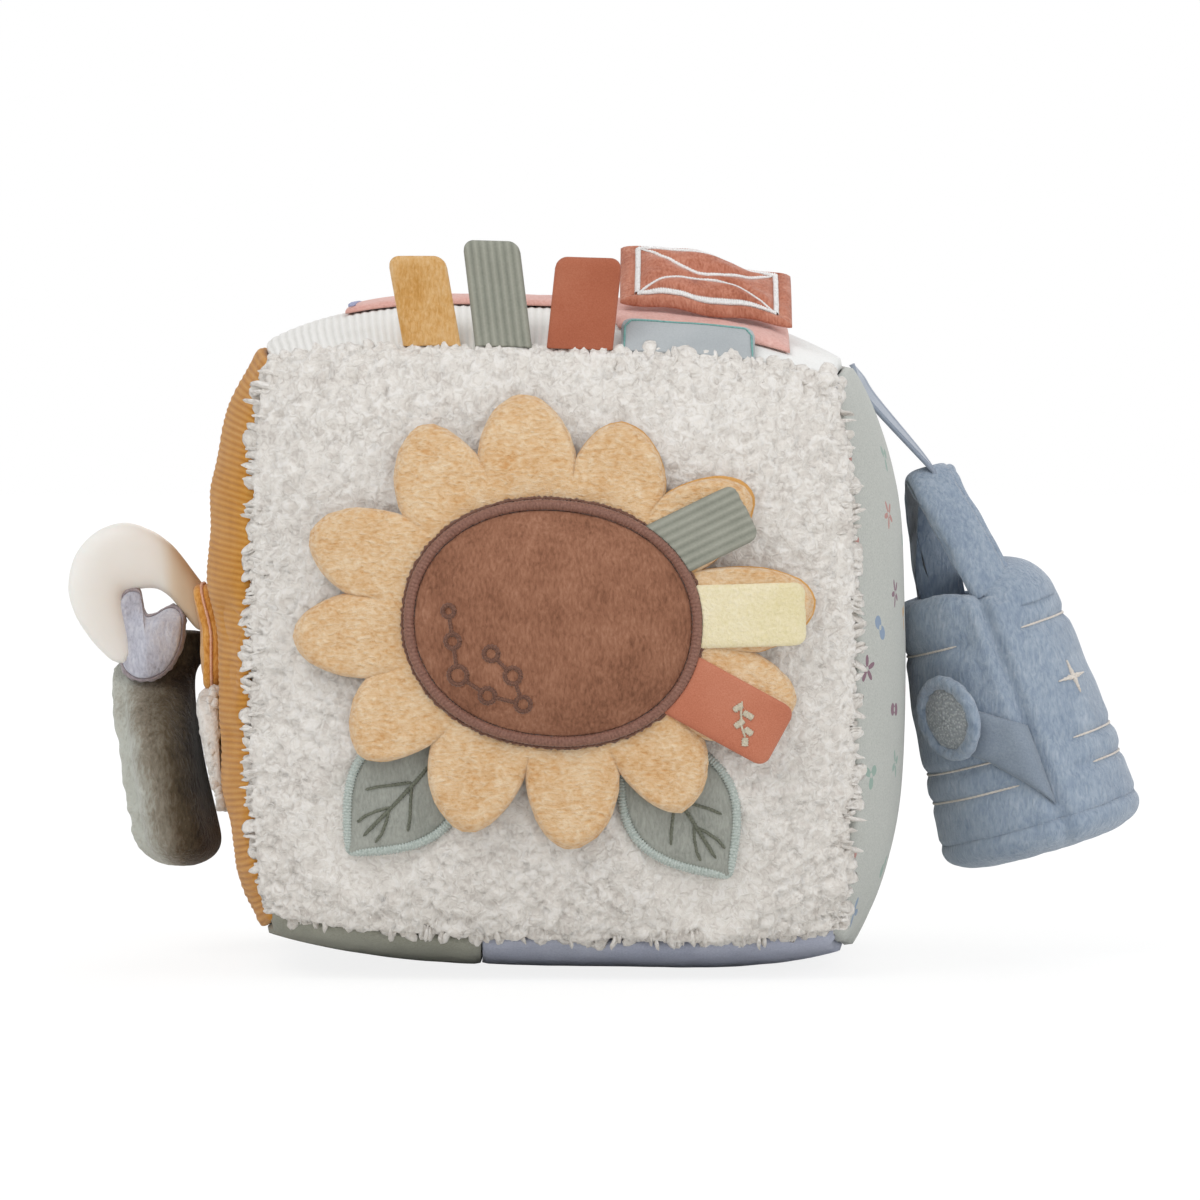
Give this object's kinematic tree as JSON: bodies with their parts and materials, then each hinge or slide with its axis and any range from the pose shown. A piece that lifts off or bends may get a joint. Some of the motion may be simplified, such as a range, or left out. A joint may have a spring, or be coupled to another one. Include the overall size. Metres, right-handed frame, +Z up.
{
  "type": "soft activity cube",
  "caption": "Stuffed cloth activity cube with a sewn-on sunflower, ribbon tabs, a padded door flap, a hanging plush watering can and a hanging teether toy.",
  "frame": {"origin": "on the floor under the middle of the stuffed cube, on its flattened underside", "axes": "+Z up; +X to the right of someone who looks at the sunflower, toward the watering can; -Y is where the sunflower faces"},
  "size_m": [0.2661, 0.1815, 0.1768],
  "materials": {
    "stuffing": "fluffy",
    "curly_pile": "curly pile",
    "cream_cloth": "matte weave",
    "ochre_cord": "fine ribs",
    "printed_jersey": "smooth knit",
    "white_rib": "fine ribs",
    "white_cloth": "smooth",
    "sage_cloth": "matte",
    "lavender_cloth": "matte",
    "leaf_plush": "short plush",
    "leaf_thread": "satin stitch",
    "petal_lining": "plain weave",
    "petal_plush": "short plush",
    "brown_plush": "short plush",
    "brown_thread": "satin stitch",
    "sage_ribbon": "ribbed",
    "lemon_plush": "short plush",
    "rust_satin": "satin",
    "yellow_plush": "short plush",
    "label_weave": "satin weave",
    "pink_plush": "short plush",
    "rust_plush": "short plush",
    "blue_plush": "short plush",
    "blue_cloth": "smooth",
    "glitter_cloth": "glitter weave",
    "blue_ribbon": "satin",
    "ochre_plush": "short plush",
    "cream_silicone": "matte silicone",
    "lavender_plush": "short plush",
    "sage_plush": "plush"
  },
  "bodies": {
    "cube": {"core_fill": "stuffing", "front_panel": "curly_pile", "back_panel": "cream_cloth", "left_panel": "ochre_cord", "right_panel": "printed_jersey", "top_panel_ribbed": "white_rib", "top_panel_plain": "white_cloth", "bottom_panel_sage": "sage_cloth", "bottom_panel_lavender": "lavender_cloth", "leaf_left": "leaf_plush", "leaf_rim_left": "leaf_thread", "leaf_right": "leaf_plush", "leaf_rim_right": "leaf_thread", "petal_lining": "petal_lining", "petal_ring": "petal_plush", "flower_centre": "brown_plush", "flower_border": "brown_thread", "top_patch": "pink_plush", "toy_holder": "ochre_plush", "fleece_patch": "curly_pile"},
    "yellow_tab": {"seam_tab_yellow": "yellow_plush"},
    "ribbed_tab": {"seam_tab_ribbed": "sage_ribbon"},
    "satin_tab": {"seam_tab_satin": "rust_satin"},
    "label": {"seam_label": "label_weave"},
    "sage_side_tab": {"flower_tab_sage": "sage_ribbon"},
    "lemon_side_tab": {"flower_tab_lemon": "lemon_plush"},
    "rust_side_tab": {"flower_tab_rust": "rust_satin"},
    "flap": {"door_flap": "rust_plush"},
    "strap": {"can_strap": "blue_ribbon"},
    "can": {"can_body": "blue_plush", "can_base": "blue_plush", "can_handle": "blue_plush", "can_hood": "blue_plush", "can_spout": "blue_cloth", "can_rose_ring": "blue_plush", "can_rose_face": "glitter_cloth"},
    "hook_toy": {"toy_hook": "cream_silicone", "toy_bulb": "lavender_plush"},
    "long_pad": {"toy_dangle": "sage_plush"}
  },
  "joints": [
    {"name": "yellow_tab_bend", "type": "hinge", "parent": "cube", "child": "yellow_tab", "pos_m": [-0.02868, -0.07176, 0.15152], "axis": [0.9995, -0.031, 0.001], "range_deg": [-22, 85], "stiffness_Nm_per_rad": 0.0001},
    {"name": "ribbed_tab_bend", "type": "hinge", "parent": "cube", "child": "ribbed_tab", "pos_m": [-0.01159, -0.07199, 0.15124], "axis": [0.9996, -0.003, -0.027], "range_deg": [-18, 85], "stiffness_Nm_per_rad": 0.0001},
    {"name": "satin_tab_bend", "type": "hinge", "parent": "cube", "child": "satin_tab", "pos_m": [0.00657, -0.072, 0.1507], "axis": [0.9995, 0.001, -0.031], "range_deg": [-22, 85], "stiffness_Nm_per_rad": 0.0001},
    {"name": "label_bend", "type": "hinge", "parent": "cube", "child": "label", "pos_m": [0.0325, -0.07163, 0.14956], "axis": [0.9959, 0.048, -0.077], "range_deg": [0, 110]},
    {"name": "sage_side_tab_lift", "type": "hinge", "parent": "cube", "child": "sage_side_tab", "pos_m": [0.02842, -0.09122, 0.10394], "axis": [0.6868, 0, -0.7268], "range_deg": [0, 70], "stiffness_Nm_per_rad": 0.0001},
    {"name": "lemon_side_tab_lift", "type": "hinge", "parent": "cube", "child": "lemon_side_tab", "pos_m": [0.03571, -0.09116, 0.08749], "axis": [0.073, 0.001, -0.9973], "range_deg": [0, 70], "stiffness_Nm_per_rad": 0.0001},
    {"name": "rust_side_tab_lift", "type": "hinge", "parent": "cube", "child": "rust_side_tab", "pos_m": [0.03158, -0.09147, 0.07097], "axis": [-0.529, -0.033, -0.848], "range_deg": [0, 70], "stiffness_Nm_per_rad": 0.0001},
    {"name": "flap_lift", "type": "hinge", "parent": "cube", "child": "flap", "pos_m": [0.0368, -0.052, 0.15839], "axis": [0.9903, 0, -0.139], "range_deg": [-14, 60], "stiffness_Nm_per_rad": 0.001},
    {"name": "strap_swing", "type": "hinge", "parent": "cube", "child": "strap", "pos_m": [0.07319, 0, 0.14689], "axis": [0, -1, 0], "range_deg": [0, 70]},
    {"name": "can_swing", "type": "hinge", "parent": "strap", "child": "can", "pos_m": [0.0925, 0, 0.1223], "axis": [0, -1, 0], "range_deg": [0, 55]},
    {"name": "hook_swing", "type": "hinge", "parent": "cube", "child": "hook_toy", "pos_m": [-0.0902, 0, 0.0923], "axis": [0, 1, 0], "range_deg": [0, 45]},
    {"name": "long_pad_bend", "type": "hinge", "parent": "hook_toy", "child": "long_pad", "pos_m": [-0.106, 0, 0.0693], "axis": [0, 1, 0], "range_deg": [0, 35], "stiffness_Nm_per_rad": 0.004}
  ]
}
